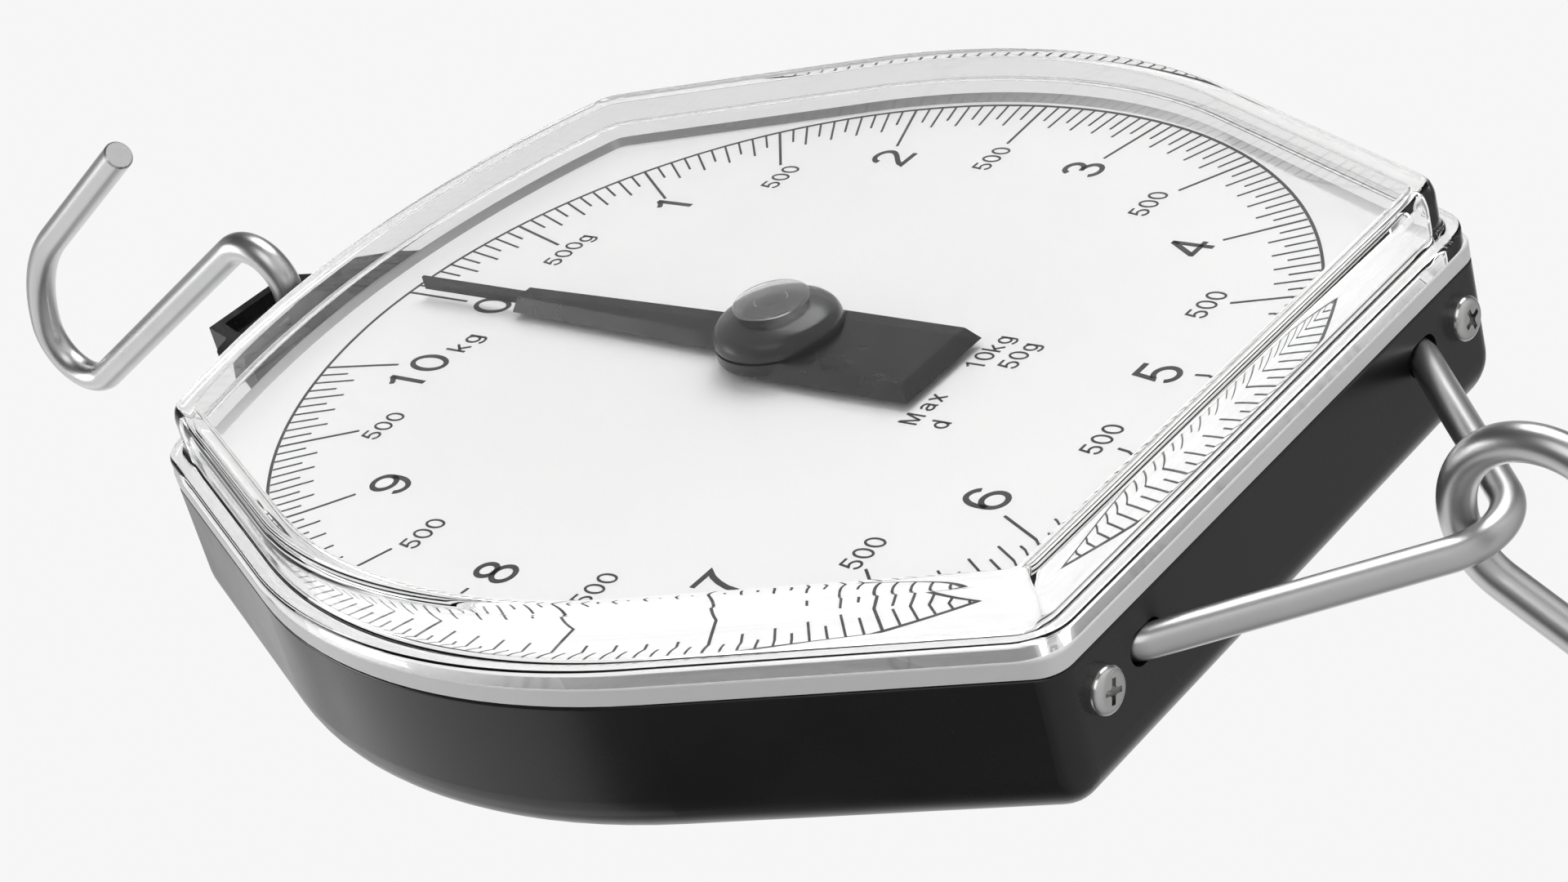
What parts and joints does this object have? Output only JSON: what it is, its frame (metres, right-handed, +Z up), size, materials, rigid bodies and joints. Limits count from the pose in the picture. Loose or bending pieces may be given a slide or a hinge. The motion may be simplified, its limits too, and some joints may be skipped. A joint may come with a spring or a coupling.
{
  "type": "hanging spring scale",
  "caption": "Hanging dial spring scale: black case, clear domed front, white dial, wire bail and S hooks, with springs, rack, pinion and pointer inside.",
  "frame": {"origin": "inside top of the top hook's bend, where the scale hangs", "axes": "+Z up, -Y out of the dial face, +X to the right of the face"},
  "size_m": [0.1602, 0.0602, 0.3529],
  "materials": {
    "case_black": "satin moulded black",
    "bezel_white": "white moulded, satin",
    "gasket_rubber": "matt",
    "dial_white": "white with black print",
    "clear_plastic": "polished clear",
    "chassis_black": "black stove enamel",
    "zinc_plate": "zinc plated sheet",
    "brass": "machined",
    "bright_screw": "bright nickel",
    "turned_steel": "turned",
    "spring_steel": "oiled spring wire",
    "wire_steel": "drawn stainless wire, satin",
    "pointer_black": "gloss moulded"
  },
  "bodies": {
    "top_hook": {"top_hook": "wire_steel"},
    "case": {"rear_case": "case_black", "front_bezel": "bezel_white", "case_gasket": "gasket_rubber", "dial_plate": "dial_white", "lens_cover": "clear_plastic", "cap_bumper": "clear_plastic", "chassis": "chassis_black", "front_bridge": "zinc_plate", "bridge_standoffs": "brass", "bridge_screws": "bright_screw", "front_bush": "brass", "rear_bush": "brass", "rack_guide": "brass", "guide_screws": "bright_screw", "upper_anchors": "turned_steel", "upper_anchor_pins": "turned_steel", "springs": "spring_steel", "case_screws": "bright_screw", "bezel_screws": "bright_screw"},
    "carriage": {"crosshead": "zinc_plate", "bail": "wire_steel", "bail_nuts": "bright_screw", "rack": "brass", "rack_screws": "bright_screw", "lower_anchors": "turned_steel", "lower_anchor_pins": "turned_steel"},
    "spindle": {"spindle": "turned_steel", "spindle_clip": "spring_steel", "pinion": "brass"},
    "pointer": {"pointer": "pointer_black", "pointer_cap": "pointer_black"},
    "load_hook": {"load_hook": "wire_steel"}
  },
  "joints": [
    {"name": "case_swing", "type": "hinge", "parent": "top_hook", "child": "case", "pos_m": [0, -0.01, -0.06355], "axis": [1, 0, 0], "range_deg": [-18, 18]},
    {"name": "load_slide", "type": "slide", "parent": "case", "child": "carriage", "axis": [0, 0, -1], "range_m": [0, 0.02394], "stiffness_N_per_m": 4100, "springref_m": -0.0003, "deforming": ["springs"]},
    {"name": "spindle_spin", "type": "hinge", "parent": "case", "child": "spindle", "pos_m": [0, -0.014, -0.1716], "axis": [0, 1, 0], "range_deg": [-5, 350]},
    {"name": "zero_adjust", "type": "hinge", "parent": "spindle", "child": "pointer", "pos_m": [0, -0.021, -0.1716], "axis": [0, 1, 0], "range_deg": [-15, 15]},
    {"name": "load_hook_swing", "type": "hinge", "parent": "carriage", "child": "load_hook", "pos_m": [0, -0.0109, -0.28115], "axis": [1, 0, 0], "range_deg": [-50, 50]}
  ],
  "couplings": [
    {"joint": "spindle_spin", "follows": "load_slide", "rad_per_m": 250}
  ]
}
